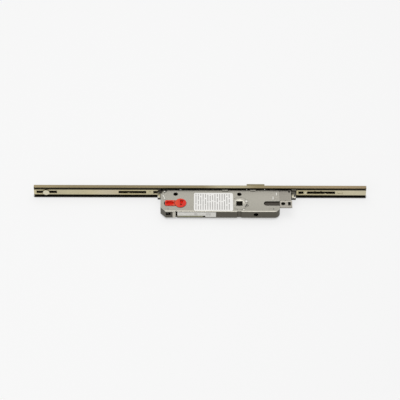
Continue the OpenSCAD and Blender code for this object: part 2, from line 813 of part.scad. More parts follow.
module upper_rod() {
    color("#c3b993") difference() {
        rod_blank(upper_rod_low, rail_above);
        rod_slot(upper_rod_low + upper_slot_a[0], upper_rod_low + upper_slot_a[1]);
        rod_slot(upper_rod_low + upper_slot_b[0], upper_rod_low + upper_slot_b[1]);
        for (x = upper_notches) block(
            [upper_rod_low + x - notch_size[0] / 2, rod_back - cut, 0],
            [upper_rod_low + x + notch_size[0] / 2, rod_front + cut, rod_slot_w / 2 + notch_size[1]]);
        translate([upper_rod_low, rod_back + oval_depth, 0]) rotate([90, 0, 0])
            linear_extrude(oval_depth + cut) slot_2d(upper_oval[0], upper_oval[1], oval_w);
        bar_y(upper_rod_low + upper_rivet, 0, rivet_d, rod_back - cut, rod_front + cut);
    }
}

module lower_slide() {
    low = lower_conn_high - lower_conn_l;
    color("#a9a28c") translate([0, 0, slide_low]) linear_extrude(slide_t) difference() {
        union() {
            translate([low, tail_back]) square([web_high - low, slide_front - tail_back]);
            translate([case_low, lower_edge]) square([web_high - case_low, slide_front - lower_edge]);
            translate([web_low, back_inner + layer_gap])
                square([web_w, slide_front - back_inner - layer_gap]);
            translate([web_low, back_inner + layer_gap])
                square([lower_slide_high - web_low, -rack_root - back_inner - layer_gap]);
            mirror([0, 1]) rack_teeth(lower_teeth);
        }
        translate([-handle_bore_below - bore_half, lower_edge - cut])
            square([stroke + 2 * bore_half, handle_bore_y + bore_half - lower_edge + cut]);
        for (p = lower_guides) translate(p)
            slot_2d(-guide_d / 2 - side_gap, stroke + guide_d / 2 + side_gap, guide_d + 2 * side_gap);
        for (x = [0, stroke]) translate([lock_x + x - nose_w / 2 - notch_gap, lower_edge - cut])
            square([nose_w + 2 * notch_gap, lock_throw + notch_gap + cut]);
        for (y = connector_rivet_ys) translate([lower_conn_high - connector_rivet_x, y]) circle(d = rivet_d);
    }
}

module lower_connector() {
    color("#bdb9ad") difference() {
        connector(lower_conn_high - lower_conn_l, lower_conn_high, lower_rod_high - lower_rivet - rivet_end);
        for (y = connector_rivet_ys) translate([lower_conn_high - connector_rivet_x, y, connector_low - cut])
            cylinder(d = rivet_d, h = connector_high - connector_low + 2 * cut);
        bar_y(lower_rod_high - lower_rivet, 0, rivet_d, rod_front - cut, rail_inner);
        tongue_window(lower_rod_high - lower_slot_2, lower_rod_high);
    }
}

module lower_rivets() {
    color("#c9c2a8") rivets(lower_conn_high - connector_rivet_x, lower_rod_high - lower_rivet);
}

module lower_rod() {
    color("#c3b993") difference() {
        rod_blank(-rail_below, lower_rod_high);
        rod_slot(lower_rod_high - lower_slot_2, lower_rod_high + cut);
        rod_slot(lower_rod_high - lower_slot_1[1], lower_rod_high - lower_slot_1[0]);
        rod_slot(stud_x - far_slot_reach[0], stud_x + far_slot_reach[1]);
        bar_y(lower_rod_high - lower_rivet, 0, rivet_d, rod_back - cut, rod_front + cut);
    }
}

module latch_bolt() {
    half = latch_t / 2;
    color("#b3a067") difference() {
        union() {
            translate([latch_above - latch_w / 2, 0, 0]) rotate([90, 0, 90]) linear_extrude(latch_w) polygon([
                [latch_root, -half], [rail_front + latch_heel, -half], [latch_tip, half - latch_flat],
                [latch_tip, half], [latch_root, half]
            ]);
            block([latch_above - latch_body_w / 2, latch_body_back, upper_low],
                [latch_above + latch_body_w / 2, latch_root + cut, upper_high]);
        }
        bar_y(latch_above, stem_z, stem_d, latch_body_back - cut, latch_body_back + stem_seat_depth);
    }
}

module latch_stem() {
    color("#b8b6ae") bar_y(latch_above, stem_z, stem_d, stem_back, latch_body_back + stem_seat_depth);
}

module latch_clip() {
    from = seat_front - seat_t - side_gap - clip_t;
    color("#77746c") difference() {
        bar_y(latch_above, stem_z, clip_d, from, from + clip_t);
        bar_y(latch_above, stem_z, stem_d, from - cut, from + clip_t + cut);
    }
}

// The latch spring as one open coil between the latch and its seat
spring_from = seat_front + spring_wire / 2 + spring_end_gap;
spring_to = latch_body_back - spring_wire / 2 - spring_end_gap;
spring_rings = 8;
spring_sides = 6;
spring_count = spring_turns * spring_rings;
spring_step = (spring_to - spring_from) / spring_turns;

function spring_point(i, k) =
    let (a = 360 * i / spring_rings, b = 360 * k / spring_sides, r = spring_r + spring_wire / 2 * cos(b),
        y = spring_from + (spring_to - spring_from) * i / spring_count + spring_wire / 2 * sin(b))
    [r * cos(a), y, r * sin(a)];

echo(spring_least_gap = spring_step - spring_wire);

module latch_spring() {
    points = [for (i = [0:spring_count]) for (k = [0:spring_sides - 1]) spring_point(i, k)];
    sides = [for (i = [0:spring_count - 1]) for (k = [0:spring_sides - 1])
        let (a = i * spring_sides + k, b = i * spring_sides + (k + 1) % spring_sides)
        each [[a, b, b + spring_sides], [a, b + spring_sides, a + spring_sides]]];
    last = spring_count * spring_sides;
    ends = [for (k = [1:spring_sides - 2]) each [[0, k + 1, k], [last, last + k, last + k + 1]]];
    color("#8d8b84") translate([latch_above, 0, stem_z]) polyhedron(points, concat(sides, ends));
}

module lock_slide() {
    low = upper_low;
    slot = post_d + 2 * side_gap;
    color("#b0a98f") difference() {
        union() {
            block([lock_x - lock_w / 2, lock_low_y, low], [lock_x + lock_w / 2, lock_high_y, low + lock_t]);
            block([lock_x - lock_w / 2 - lock_foot, lock_low_y, low],
                [lock_x, lock_low_y + lock_foot_w, low + lock_t]);
            block([lock_x - nose_w / 2, lock_high_y - cut, low],
                [lock_x + nose_w / 2, nose_y, low + lock_t]);
            block([lock_x - nose_w / 2, nose_y - nose_l, slide_low],
                [lock_x + nose_w / 2, nose_y, low + cut]);
        }
        for (p = lock_posts) translate([p[0], p[1] - lock_throw, low - cut]) rotate(90)
            linear_extrude(lock_t + 2 * cut) slot_2d(-slot / 2, lock_throw + slot / 2, slot);
    }
}

module keyhole_plug() {
    lip_top = case_top + plug_lip_h;
    leg_end = -cylinder_spacing + keyhole_d / 2 - keyhole_l;
    color("#d9281a") difference() {
        union() {
            translate([0, 0, case_top]) linear_extrude(plug_lip_h) keyhole_profile(-plug_lip);
            translate([0, 0, case_top - plug_depth]) linear_extrude(plug_depth) keyhole_profile(side_gap);
        }
        block([leg_end - plug_lip - cut, -keyhole_w, case_top - plug_depth - cut],
            [leg_end + plug_end_gap, keyhole_w, lip_top + cut]);
        translate([0, 0, lip_top - plug_pocket]) linear_extrude(plug_pocket + cut) {
            translate([-cylinder_spacing, 0]) polygon(plug_wedge);
            slot_2d(leg_end + plug_end_gap + plug_rim, -cylinder_spacing - plug_neck, plug_pocket_w);
        }
        translate([plug_hole_at[0] - cylinder_spacing, plug_hole_at[1], lip_top - plug_hole])
            cylinder(d = plug_hole_d, h = plug_hole);
        translate([-cylinder_spacing, 0, case_top]) linear_extrude(plug_lip_h + cut) difference() {
            circle(d = keyhole_d + 2 * plug_lip + plug_groove_w);
            circle(d = keyhole_d + 2 * plug_lip - plug_groove_w);
            translate([-keyhole_w / 2, -keyhole_d]) square(2 * keyhole_d);
        }
    }
}

faceplate_rail();
case_floor_plate();
case_walls();
case_cover();
end_bracket();
bracket_rivets();
cover_rivets();
fixing_blocks();
rail_screws();
follower_bushes();
slide_guides();
rod_guide_stud();
latch_spring_seat();
face_label();
edge_label();
follower();
upper_slide();
accessory_bar();
upper_connector();
upper_rivets();
upper_rod();
lower_slide();
lower_connector();
lower_rivets();
lower_rod();
latch_bolt();
latch_stem();
latch_spring();
latch_clip();
lock_slide();
keyhole_plug();
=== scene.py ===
"""Looks of a multipoint door lock's central module: plated rail and rods, sheet case, labels, red plug."""
import math
import random

import bmesh
import bpy
from mathutils import Matrix, Vector


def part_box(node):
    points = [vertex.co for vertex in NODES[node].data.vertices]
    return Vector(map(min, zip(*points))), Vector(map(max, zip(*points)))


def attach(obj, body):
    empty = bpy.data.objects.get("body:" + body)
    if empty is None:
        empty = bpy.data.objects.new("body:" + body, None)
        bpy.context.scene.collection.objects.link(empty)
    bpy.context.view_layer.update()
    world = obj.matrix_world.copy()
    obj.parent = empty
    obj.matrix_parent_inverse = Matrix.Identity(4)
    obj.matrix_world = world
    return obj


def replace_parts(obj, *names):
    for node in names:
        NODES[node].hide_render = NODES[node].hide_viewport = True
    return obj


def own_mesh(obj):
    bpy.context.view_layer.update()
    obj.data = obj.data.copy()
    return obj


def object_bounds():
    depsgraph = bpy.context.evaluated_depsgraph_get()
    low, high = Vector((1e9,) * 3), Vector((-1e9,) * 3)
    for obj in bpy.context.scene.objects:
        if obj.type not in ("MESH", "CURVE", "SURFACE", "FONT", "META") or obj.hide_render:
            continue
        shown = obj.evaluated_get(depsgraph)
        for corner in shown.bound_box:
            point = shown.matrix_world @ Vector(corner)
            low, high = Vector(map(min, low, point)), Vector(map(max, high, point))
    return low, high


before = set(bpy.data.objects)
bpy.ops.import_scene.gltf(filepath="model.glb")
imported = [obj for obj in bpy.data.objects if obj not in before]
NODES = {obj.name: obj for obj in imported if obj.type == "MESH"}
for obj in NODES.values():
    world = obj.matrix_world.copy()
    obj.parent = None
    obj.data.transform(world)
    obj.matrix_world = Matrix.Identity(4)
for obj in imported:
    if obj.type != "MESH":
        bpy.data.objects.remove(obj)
CAD_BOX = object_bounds()

# Places on the lock, in metres
MM = 0.001
FACE_LABEL_LOW, FACE_LABEL_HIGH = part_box("face_label")
EDGE_LABEL_LOW, EDGE_LABEL_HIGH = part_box("edge_label")
FLOOR_Z = CAD_BOX[0][2]
RAIL_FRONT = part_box("faceplate_rail")[1].y
CASE_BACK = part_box("case_cover")[0].y
CASE_ROOF = 5.5 * MM
BRACKET_STEP = 6.9 * MM
TONGUE_BACK = 31 * MM
BAR_END = 64 * MM

# The photograph's view
VIEW_ELEVATION = math.radians(47)
VIEW_ROLL = math.radians(0.18)
VIEW_WIDTH = 0.624
VIEW_CENTRE = Vector((-0.0615, 0.0069, 0.007))
LENS = 200.0
SENSOR = 36.0

# Light and floor; each lamp has a name, a place, a size and a power
WORLD_STRENGTH = 0.62
LAMP_AIM = (-0.06, 0, 0)
LAMPS = (("key", (-0.15, 0.5, 1.4), 1.2, 9), ("fill", (-0.6, -0.9, 0.9), 1.0, 4))
FLOOR_SIZE = 12
FLOOR_ROUGHNESS = 0.9
FLOOR_GLOSS = 0.1
FLOOR_GLOW = 0.8
CONTACT_REACH = 5 * MM

# Colours as linear values
RAIL_OLIVE = (0.182, 0.148, 0.082)
RAIL_TAN = (0.245, 0.185, 0.108)
ROD_GOLD = (0.585, 0.505, 0.288)
ROD_PALE = (0.575, 0.52, 0.35)
STUD_PALE = (0.72, 0.67, 0.50)
CASE_FACE = (0.290, 0.276, 0.240)
CASE_COOL = (0.270, 0.264, 0.226)
BRACKET_GREY = (0.231, 0.217, 0.187)
BAR_BROWN = (0.042, 0.034, 0.025)
# The case's sides and floor plate: the case's plating darkened as painted shade, for faces the light reaches
# less
CASE_SIDE_SHADE = (0.108, 0.100, 0.080)
STEEL = (0.50, 0.48, 0.42)
BLOCK_STEEL = (0.36, 0.35, 0.29)
BUSH_STEEL = (0.31, 0.295, 0.262)
HUB_STEEL = (0.40, 0.385, 0.33)
INNER_STEEL = (0.20, 0.18, 0.145)
LATCH_GOLD = (0.163, 0.141, 0.083)
# The plug's colours: the deep red low in the pockets is painted shade, the neck's lighter red a painted
# sheen, and the rim a pale rub with a painted highlight
PLUG_RED = (0.68, 0.012, 0.003)
PLUG_LEG = (0.66, 0.024, 0.010)
PLUG_NECK_SHEEN = (0.70, 0.085, 0.045)
PLUG_ROUND = (0.68, 0.040, 0.030)
PLUG_RUBBED_GLINT = (0.84, 0.22, 0.15)
# Painted highlights on the raised dots, bars and rib of the case's face
MARK_HIGHLIGHT = (0.72, 0.71, 0.65)
# Painted shade in the stamped chevron, and a small dark dot
MARK_DARK = (0.035, 0.032, 0.025)
LABEL_WHITE = (0.79, 0.78, 0.75)
EDGE_WHITE = (0.68, 0.67, 0.625)
EDGE_OLIVE = (0.235, 0.23, 0.15)
LABEL_INK = (0.38, 0.37, 0.35)
FLOOR_WHITE = (0.93, 0.93, 0.93)
SURROUND = (0.92, 0.92, 0.92)
# A painted contact shadow on the floor, close round the lock
CONTACT_SHADOW_GREY = (0.25, 0.25, 0.24)
# Painted shade deep in gaps and holes
GAP_SHADE_COLOUR = (0.012, 0.009, 0.003)

# Bands of a metal, tints and painted light and shade: the axis, where a band is full, where it ends, and what
# it multiplies the colour by
# On the rail, the middle band is a painted pale sheen, the first lightens the far left end, and the last
# brings the colour back beyond the sheen
RAIL_BANDS = (("X", -0.300, -0.262, 1.35),
              ("X", -0.034, -0.056, (1.48, 1.60, 1.86)),
              ("X", 0.026, 0.006, (0.70, 0.65, 0.56)))
# On the rods, the two Z bands are painted shade along the upper and lower edges; the X bands are tints
ROD_BANDS = (("Z", -5.5 * MM, -5.1 * MM, 0.25),
             ("Z", 5.4 * MM, 5.0 * MM, 0.2),
             ("X", -0.205, -0.245, (1.10, 1.11, 1.32)),
             ("X", -0.184, -0.190, (0.92, 0.92, 0.78)),
             ("X", 0.168, 0.146, (1.07, 1.07, 1.13)))
# On the cover, the first band is a painted highlight along the back edge, and the second a painted shade
# deepening towards the back
CASE_BANDS = (("Y", CASE_BACK + 1.4 * MM, CASE_BACK + 2.0 * MM, 2.0),
              ("Y", -12 * MM, 10 * MM, 0.92))
# On the bracket, the bands lighten the tab below the step, with a painted highlight on the strip just under
# the step
BRACKET_BANDS = (("Y", BRACKET_STEP - 0.1 * MM, BRACKET_STEP + 0.1 * MM, 1.72),
                 ("Y", BRACKET_STEP - 2.4 * MM, BRACKET_STEP - 1.8 * MM, 0.67))
# On the bar, the band darkens the part under the tab as painted shade
BAR_BANDS = (("X", BAR_END + 0.5 * MM, BAR_END - 0.5 * MM, 0.35),)

# Painted shade on upright faces below a place: the axis, the place, and what the colour is multiplied by
# there
RAIL_LOW_SIDE = ("Y", RAIL_FRONT - 0.3 * MM, 0.2)
CASE_LOW_SIDE = ("Z", CASE_ROOF, 1.1)
STEP_LOW_SIDE = ("Y", TONGUE_BACK, 0.15)
LOW_SIDE_EASE = 0.1 * MM

# Where the rail's second tint comes in along X, and where the plug's colours change along X and Z
RAIL_SWEEP = (0.03, 0.15)
PLUG_PLACES = ((-0.105, -0.103), (-0.096, -0.092))
PLUG_LEVELS = (6 * MM, 7.7 * MM)

# Noises: the scale, the stretch along each axis and the detail
DRIFT_NOISE = (9.0, (1, 0.2, 0.2), 1.0)
CLOUD_NOISE = (38.0, (0.35, 1, 1), 4.0)
GRAIN_NOISE = (90.0, (6, 60, 60), 2.0)
PLASTIC_CLOUD = (120.0, (1, 1, 1), 3.0)
PLASTIC_SKIN = (2200.0, (1, 1, 1), 1.0)
PAPER_CLOUD = (90.0, (1, 1, 1), 4.0)
PAPER_FIBRE = (900.0, (1, 1, 1), 2.0)

# Reliefs: the strength and the depth
GRAIN_BUMP = (0.12, 0.1 * MM)
PLASTIC_BUMP = (0.1, 0.05 * MM)
PAPER_BUMP = (0.06, 0.05 * MM)

# What the noises do to a plated metal: the part of the noise that counts, and shares or factors of the colour
DRIFT_SPAN, DRIFT_FACTOR = (0.4, 0.6), 1.06
LIGHT_SPAN, LIGHT_FACTOR = (0.45, 0.75), 1.9
DARK_SPAN, DARK_FACTOR = (0.55, 0.25), 0.3
BRUSH_SPAN, BRUSH_SHARE, BRUSH_FACTOR = (0.35, 0.75), 0.3, 0.72
MIDDLE_SPAN = (0.3, 0.7)
ROUGH_DROP, ROUGH_RISE = 0.06, 0.08

# The same for the plug's plastic and for film and paint
PLASTIC_SHARE, PLASTIC_FACTOR, PLASTIC_GAP_FACTOR = 0.25, 0.7, 0.3
PLASTIC_ROUGHNESS = (0.34, 0.46)
PAPER_LOW, PAPER_HIGH = 0.94, 1.03
PAPER_ROUGHNESS = (0.42, 0.55)

# Painted highlights on edges, painted shade on upright faces and in gaps
BEVEL_SAMPLES = 6
EDGE_RANGE = (0.99, 0.80)
UPRIGHT_RANGE = (0.3, 0.7)
GAP_SAMPLES = 8
GAP_FADE = 0.45
PLUG_WEAR_AND_GLINT = 0.9 * MM
PLUG_GAP_REACH = 1.5 * MM
PLUG_GLOSS = 0.06

# Sockets of a Mix node set to colours, and of a Map Range node
MIX_FACTOR, MIX_LOW, MIX_HIGH, MIX_RESULT = 0, 6, 7, 2
RANGE_SOCKETS = (1, 2, 3, 4)


def node(tree, kind, **values):
    """A shader node with values set on its own sockets."""
    made = tree.nodes.new(kind)
    for key, value in values.items():
        made.inputs[key.replace("_", " ")].default_value = value
    return made


def compute(tree, operation, first, second=None):
    """The result of a math node on sockets, of which the second may be a number or left out."""
    made = tree.nodes.new("ShaderNodeMath")
    made.operation = operation
    tree.links.new(first, made.inputs[0])
    if isinstance(second, float):
        made.inputs[1].default_value = second
    elif second is not None:
        tree.links.new(second, made.inputs[1])
    return made.outputs[0]


def shader(name):
    """A new material with its tree and main shader."""
    material = bpy.data.materials.new(name)
    material.use_nodes = True
    tree = material.node_tree
    return material, tree, tree.nodes["Principled BSDF"]


def coordinate(tree, kind, axis):
    """One axis of the object's own place ("Object") or direction ("Normal")."""
    coords = tree.nodes.new("ShaderNodeTexCoord")
    parts = tree.nodes.new("ShaderNodeSeparateXYZ")
    tree.links.new(coords.outputs[kind], parts.inputs[0])
    return parts.outputs[axis]


def object_noise(tree, scale, stretch, detail):
    """Noise in the object's own metres, stretched along its axes."""
    coords = tree.nodes.new("ShaderNodeTexCoord")
    mapping = node(tree, "ShaderNodeMapping", Scale=stretch)
    noise = node(tree, "ShaderNodeTexNoise", Scale=scale, Detail=detail)
    tree.links.new(coords.outputs["Object"], mapping.inputs["Vector"])
    tree.links.new(mapping.outputs["Vector"], noise.inputs["Vector"])
    return noise.outputs["Fac"]


def remap(tree, value, low, high, to_low, to_high):
    """A value moved from one range to another, held at its ends."""
    made = node(tree, "ShaderNodeMapRange")
    for index, number in zip(RANGE_SOCKETS, (low, high, to_low, to_high)):
        made.inputs[index].default_value = number
    tree.links.new(value, made.inputs[0])
    return made.outputs[0]


def blend_colour(tree, factor, low, high, mode="MIX"):
    """A mix of two colours; low and high are colours or sockets."""
    made = tree.nodes.new("ShaderNodeMix")
    made.data_type = "RGBA"
    made.blend_type = mode
    tree.links.new(factor, made.inputs[MIX_FACTOR])
    for index, colour in ((MIX_LOW, low), (MIX_HIGH, high)):
        if isinstance(colour, tuple):
            made.inputs[index].default_value = (*colour, 1)
        else:
            tree.links.new(colour, made.inputs[index])
    return made.outputs[MIX_RESULT]


def edge_mask(tree, radius):
    """1 along an object's sharp edges and 0 on its flats, and the normal with the edges rounded."""
    soft = tree.nodes.new("ShaderNodeBevel")
    soft.samples = BEVEL_SAMPLES
    soft.inputs["Radius"].default_value = radius
    flat = tree.nodes.new("ShaderNodeNewGeometry")
    dot = tree.nodes.new("ShaderNodeVectorMath")
    dot.operation = "DOT_PRODUCT"
    tree.links.new(soft.outputs["Normal"], dot.inputs[0])
    tree.links.new(flat.outputs["Normal"], dot.inputs[1])
    return remap(tree, dot.outputs["Value"], *EDGE_RANGE, 0.0, 1.0), soft.outputs["Normal"]


def along(tree, axis, low, high):
    """0 before one place and 1 after another, along an axis of the object's own metres."""
    return remap(tree, coordinate(tree, "Object", axis), low, high, 0.0, 1.0)


def shade(colour, factor):
    """A colour made lighter or darker, kept under 1."""
    return tuple(min(1.0, c * factor) for c in colour)


def gap_shade(tree, reach, open_at=0.85):
    """1 on open faces, falling to 0 deep in gaps and holes, where the colour is darkened as painted shade."""
    near = tree.nodes.new("ShaderNodeAmbientOcclusion")
    near.samples = GAP_SAMPLES
    near.inputs["Distance"].default_value = reach
    return remap(tree, near.outputs["AO"], open_at - GAP_FADE, open_at, 0.0, 1.0)


def shade_upright_faces(tree, colour, share):
    """A colour multiplied on the upright faces: painted shade for the light that reaches them less than the
    flats.
    """
    flatness = compute(tree, "ABSOLUTE", coordinate(tree, "Normal", "Z"))
    upright = remap(tree, flatness, *UPRIGHT_RANGE, 1.0, 0.0)
    return blend_colour(tree, upright, colour, (share,) * 3, "MULTIPLY")


def banded(tree, colour, axis, full_at, none_at, share):
    """A colour multiplied beyond a place along an axis, easing in from another place."""
    tint = share if isinstance(share, tuple) else (share,) * 3
    return blend_colour(tree, along(tree, axis, none_at, full_at), colour, tint, "MULTIPLY")


def relief(tree, main, height, bump_values, normal=None):
    """A fine relief on the main shader, on top of a normal where one is given."""
    strength, depth = bump_values
    bump = node(tree, "ShaderNodeBump", Strength=strength, Distance=depth)
    tree.links.new(height, bump.inputs["Height"])
    if normal is not None:
        tree.links.new(normal, bump.inputs["Normal"])
    tree.links.new(bump.outputs["Normal"], main.inputs["Normal"])


def plated_metal(name, colour, roughness, other=None, metallic=0.85, contrast=0.16, edge=1.35, wear_and_glint=0.45 * MM,
                 reach=5 * MM, open_at=0.85, side=1.0, low_side=None, sweep=None, bands=()):
    """Plated sheet: tints that drift along X, cloudy plating, fine brushing, bright edges from wear and a
    painted highlight, painted shade on upright faces and in dark gaps.
    """
    material, tree, main = shader(name)
    main.inputs["Metallic"].default_value = metallic
    if sweep:
        drift = along(tree, "X", *sweep)
    else:
        drift = remap(tree, object_noise(tree, *DRIFT_NOISE), *DRIFT_SPAN, 0, 1)
    cloud = object_noise(tree, *CLOUD_NOISE)
    grain = object_noise(tree, *GRAIN_NOISE)
    tint = blend_colour(tree, drift, colour, other or shade(colour, DRIFT_FACTOR))
    tone = blend_colour(tree, remap(tree, cloud, *LIGHT_SPAN, 0, contrast), tint, shade(colour, LIGHT_FACTOR))
    deep = blend_colour(tree, remap(tree, cloud, *DARK_SPAN, 0, contrast), tone, shade(colour, DARK_FACTOR))
    brushing = remap(tree, grain, *BRUSH_SPAN, 0, BRUSH_SHARE)
    fine = blend_colour(tree, brushing, deep, shade(colour, BRUSH_FACTOR))
    # Edges lightened by wear and by a painted highlight
    worn_and_lit, rounded = edge_mask(tree, wear_and_glint)
    flats = blend_colour(tree, worn_and_lit, fine, shade(colour, edge))
    for band in bands:
        flats = banded(tree, flats, *band)
    # Painted shade on the upright faces
    full = shade_upright_faces(tree, flats, side)
    if low_side:
        axis, place, share = low_side
        full = blend_colour(tree, along(tree, axis, place - LOW_SIDE_EASE, place),
                            shade_upright_faces(tree, flats, share), full)
    # Painted shade in gaps and holes
    open_faces = gap_shade(tree, reach, open_at)
    tree.links.new(blend_colour(tree, open_faces, GAP_SHADE_COLOUR, full), main.inputs["Base Color"])
    rough = remap(tree, cloud, *MIDDLE_SPAN, roughness - ROUGH_DROP, roughness + ROUGH_RISE)
    tree.links.new(rough, main.inputs["Roughness"])
    relief(tree, main, grain, GRAIN_BUMP, rounded)
    return material


def moulded_plastic(name, deep, faces, rim, places, levels):
    """Moulded plastic: three faces along X, a deeper colour low in its pockets as painted shade, a fine skin,
    and rubbed edges with a painted highlight.
    """
    material, tree, main = shader(name)
    cloud = object_noise(tree, *PLASTIC_CLOUD)
    skin = object_noise(tree, *PLASTIC_SKIN)
    first, second = (along(tree, "X", *place) for place in places)
    face = blend_colour(tree, second, blend_colour(tree, first, faces[0], faces[1]), faces[2])
    base = blend_colour(tree, along(tree, "Z", *levels), deep, face)
    clouds = remap(tree, cloud, *MIDDLE_SPAN, 0, PLASTIC_SHARE)
    tone = blend_colour(tree, clouds, base, shade(deep, PLASTIC_FACTOR))
    # Rubbed edges with a painted highlight
    worn_and_lit, rounded = edge_mask(tree, PLUG_WEAR_AND_GLINT)
    rubbed_and_lit = blend_colour(tree, worn_and_lit, tone, rim)
    # Painted shade in gaps and pockets
    open_faces = gap_shade(tree, PLUG_GAP_REACH)
    full = blend_colour(tree, open_faces, shade(deep, PLASTIC_GAP_FACTOR), rubbed_and_lit)
    tree.links.new(full, main.inputs["Base Color"])
    tree.links.new(remap(tree, cloud, *MIDDLE_SPAN, *PLASTIC_ROUGHNESS), main.inputs["Roughness"])
    main.inputs["Specular IOR Level"].default_value = PLUG_GLOSS
    relief(tree, main, skin, PLASTIC_BUMP, rounded)
    return material


def paper(name, colour):
    """Matt film or paint with faint mottling."""
    material, tree, main = shader(name)
    cloud = object_noise(tree, *PAPER_CLOUD)
    clouds = remap(tree, cloud, *MIDDLE_SPAN, 0, 1)
    mottle = blend_colour(tree, clouds, shade(colour, PAPER_LOW), shade(colour, PAPER_HIGH))
    tree.links.new(mottle, main.inputs["Base Color"])
    tree.links.new(remap(tree, cloud, *MIDDLE_SPAN, *PAPER_ROUGHNESS), main.inputs["Roughness"])
    relief(tree, main, object_noise(tree, *PAPER_FIBRE), PAPER_BUMP)
    return material


def new_object(name, data):
    """An object in the scene."""
    made = bpy.data.objects.new(name, data)
    bpy.context.scene.collection.objects.link(made)
    return made


def mesh_piece(name, build, material, body):
    """A new piece from a bmesh function, with its material, body and material slot."""
    mesh = bpy.data.meshes.new(name)
    work = bmesh.new()
    build(work)
    bmesh.ops.recalc_face_normals(work, faces=work.faces)
    work.to_mesh(mesh)
    work.free()
    piece = new_object(name, mesh)
    mesh.materials.append(material)
    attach(piece, body)
    return piece


def rectangle(left, low, right, high):
    """Corners of a rectangle."""
    return [(left, low), (right, low), (right, high), (left, high)]


def rounded_corners(low, high, radius, steps=6):
    """Points round a rectangle with round corners, anticlockwise in the plane."""
    corners = ((high[0], high[1], 0), (low[0], high[1], 90), (low[0], low[1], 180), (high[0], low[1], 270))
    points = []
    for x, y, start in corners:
        centre_x = x - math.copysign(radius, x - (low[0] + high[0]) / 2)
        centre_y = y - math.copysign(radius, y - (low[1] + high[1]) / 2)
        for step in range(steps + 1):
            angle = math.radians(start + 90 * step / steps)
            points.append((centre_x + radius * math.cos(angle), centre_y + radius * math.sin(angle)))
    return points


def plate(work, outline, place, thickness):
    """A thin closed plate; place turns an outline point and a height into a position."""
    lower = [work.verts.new(place(u, v, 0)) for u, v in outline]
    upper = [work.verts.new(place(u, v, thickness)) for u, v in outline]
    work.faces.new(lower)
    work.faces.new(upper)
    count = len(outline)
    for i in range(count):
        j = (i + 1) % count
        work.faces.new((lower[i], lower[j], upper[j], upper[i]))


def on_face(u, v, height):
    """A place on the case's face."""
    return Vector((u, v, FACE_LABEL_LOW.z + height))


def on_back_edge(u, v, height):
    """A place on the case's back edge."""
    return Vector((u, EDGE_LABEL_HIGH.y - height, v))


def lifted(place, rise):
    """The same place, higher by a rise."""
    return lambda u, v, height: place(u, v, rise + height)


# Materials
rail_metal = plated_metal("rail_plating", RAIL_OLIVE, roughness=0.40, other=RAIL_TAN, reach=9 * MM,
                          open_at=0.95, low_side=RAIL_LOW_SIDE, sweep=RAIL_SWEEP, bands=RAIL_BANDS)
rod_metal = plated_metal("rod_plating", ROD_GOLD, roughness=0.36, other=ROD_PALE, reach=1.5 * MM,
                         bands=ROD_BANDS)
stud_metal = plated_metal("stud_plating", STUD_PALE, roughness=0.36, reach=1 * MM)
case_metal = plated_metal("case_face_plating", CASE_FACE, roughness=0.42, other=CASE_COOL, contrast=0.08,
                          edge=1.9, wear_and_glint=0.7 * MM, reach=2.5 * MM, side=0.25, low_side=CASE_LOW_SIDE,
                          bands=CASE_BANDS)
bracket_metal = plated_metal("bracket_plating", BRACKET_GREY, roughness=0.42, contrast=0.08, reach=2.5 * MM,
                             side=0.3, bands=BRACKET_BANDS)
# The case's plating with painted shade, for its sides and floor plate
side_shaded_metal = plated_metal("case_side_shaded_plating", CASE_SIDE_SHADE, roughness=0.44, contrast=0.14, edge=2.2,
                          reach=4 * MM, open_at=0.95)
steel = plated_metal("bright_steel", STEEL, roughness=0.34, reach=3 * MM, side=0.15)
step_steel = plated_metal("step_steel", STEEL, roughness=0.34, reach=3 * MM, side=0.5, low_side=STEP_LOW_SIDE)
block_metal = plated_metal("block_steel", BLOCK_STEEL, roughness=0.34, reach=1 * MM)
hub_metal = plated_metal("hub_steel", HUB_STEEL, roughness=0.36, reach=16 * MM)
bush_metal = plated_metal("bush_steel", BUSH_STEEL, roughness=0.36)
inner_steel = plated_metal("inner_steel", INNER_STEEL, roughness=0.4, side=0.15)
# The bar's own dark brown, with its band painting shade under the tab
bar_metal = plated_metal("bar_dark_brown", BAR_BROWN, roughness=0.5, metallic=0.5, reach=8 * MM, open_at=0.9,
                         bands=BAR_BANDS)
latch_metal = plated_metal("latch_plating", LATCH_GOLD, roughness=0.36)
plug_plastic = moulded_plastic("red_plastic", PLUG_RED, (PLUG_LEG, PLUG_NECK_SHEEN, PLUG_ROUND), PLUG_RUBBED_GLINT,
                               PLUG_PLACES, PLUG_LEVELS)
label_film = paper("label_film", LABEL_WHITE)
edge_film = paper("edge_film", EDGE_WHITE)
edge_olive_film = paper("edge_olive_film", EDGE_OLIVE)
label_ink = paper("label_ink", LABEL_INK)
painted_highlight = paper("painted_highlight", MARK_HIGHLIGHT)
shade_and_dark_paint = paper("shade_and_dark_paint", MARK_DARK)

NODE_MATERIALS = {
    rail_metal: ("faceplate_rail", "rail_screws"),
    rod_metal: ("upper_rod", "lower_rod", "lower_rivets"),
    stud_metal: ("rod_guide_stud", "upper_rivets"),
    case_metal: ("case_cover", "cover_rivets"),
    bracket_metal: ("end_bracket",),
    side_shaded_metal: ("case_walls", "case_floor_plate"),
    bar_metal: ("accessory_bar",),
    bush_metal: ("follower_bushes",),
    hub_metal: ("follower",),
    block_metal: ("fixing_blocks",),
    steel: ("lower_connector",),
    step_steel: ("upper_connector",),
    inner_steel: ("upper_slide", "lower_slide", "lock_slide", "latch_stem", "latch_spring", "latch_clip",
                  "latch_spring_seat", "slide_guides", "bracket_rivets"),
    latch_metal: ("latch_bolt",),
    plug_plastic: ("keyhole_plug",),
}
for metal, names in NODE_MATERIALS.items():
    for name in names:
        NODES[name].data.materials.clear()
        NODES[name].data.materials.append(metal)

